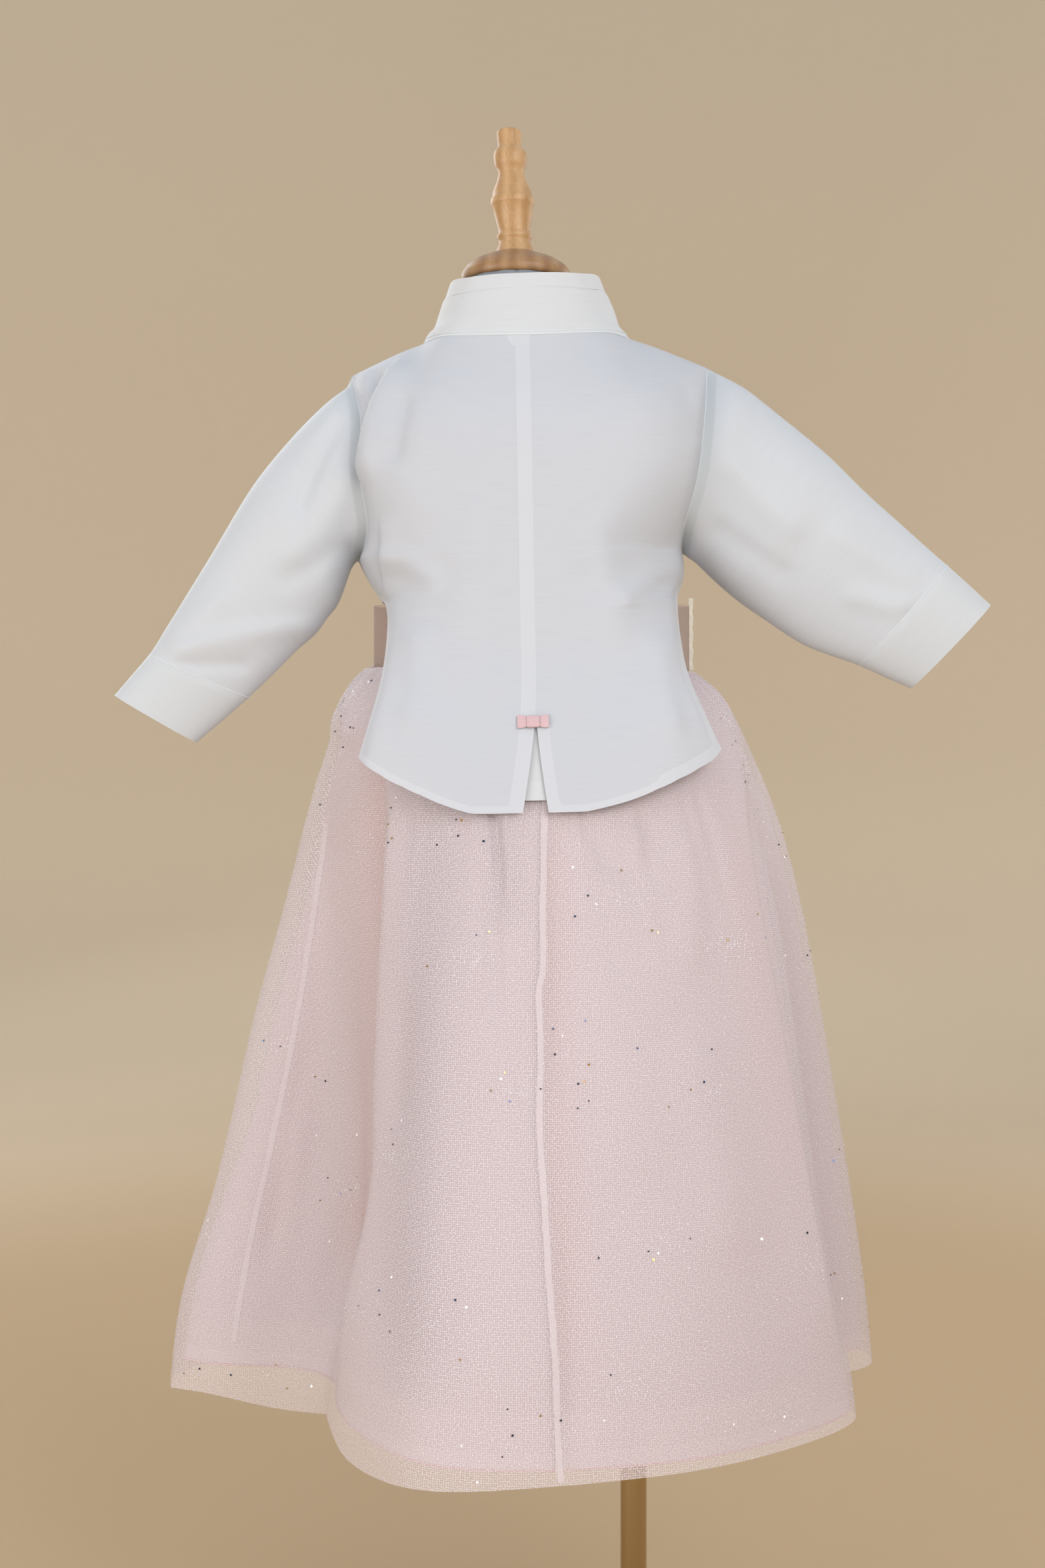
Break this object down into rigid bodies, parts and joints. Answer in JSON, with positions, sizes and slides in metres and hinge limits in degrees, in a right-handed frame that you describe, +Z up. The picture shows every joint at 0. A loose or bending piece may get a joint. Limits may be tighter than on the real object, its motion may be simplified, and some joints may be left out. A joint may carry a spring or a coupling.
{
  "type": "korean hanbok on a dress form stand",
  "caption": "Child's hanbok of a sheer jacket with a standing collar and a layered flared skirt, worn on a limbless dress form whose pole stands in a round base.",
  "frame": {"origin": "centre of the base's underside, on the pole's axis", "axes": "+Z up along the pole, +X towards the wearer's left, +Y towards the wearer's back"},
  "size_m": [0.6707, 0.4766, 1.2],
  "materials": {
    "jacket_organza": "sheer, crisp, softly lustrous",
    "collar_organza": "layered, nearly opaque",
    "ribbon": "satin ribbon",
    "bodice_cloth": "plain matt",
    "lining_cloth": "plain matt",
    "skirt_organza": "sheer, crisp",
    "glitter_net": "fine net with glitter",
    "form_cloth": "stretch cover",
    "turned_wood": "clear lacquer",
    "brass_tube": "brushed",
    "base_metal": "brass-coloured, satin"
  },
  "bodies": {
    "root": {"back_left": "jacket_organza", "back_right": "jacket_organza", "front_left": "jacket_organza", "front_right": "jacket_organza", "sleeve_left": "jacket_organza", "sleeve_right": "jacket_organza", "cuff_left": "jacket_organza", "cuff_right": "jacket_organza", "collar_band": "collar_organza", "collar_edging": "collar_organza", "vent_underlap": "collar_organza", "vent_bow": "ribbon", "vent_bow_knot": "ribbon", "ribbon_knot": "ribbon", "ribbon_loop": "ribbon", "ribbon_tail_long": "ribbon", "ribbon_tail_short": "ribbon", "bodice": "bodice_cloth", "strap_left": "bodice_cloth", "strap_right": "bodice_cloth", "skirt_lining_left": "lining_cloth", "skirt_lining_right": "lining_cloth", "skirt_organza": "skirt_organza", "skirt_tulle": "glitter_net", "form_torso": "form_cloth", "neck_cap": "turned_wood", "finial": "turned_wood", "pole": "brass_tube", "pole_socket": "brass_tube", "base": "base_metal"}
  },
  "joints": []
}
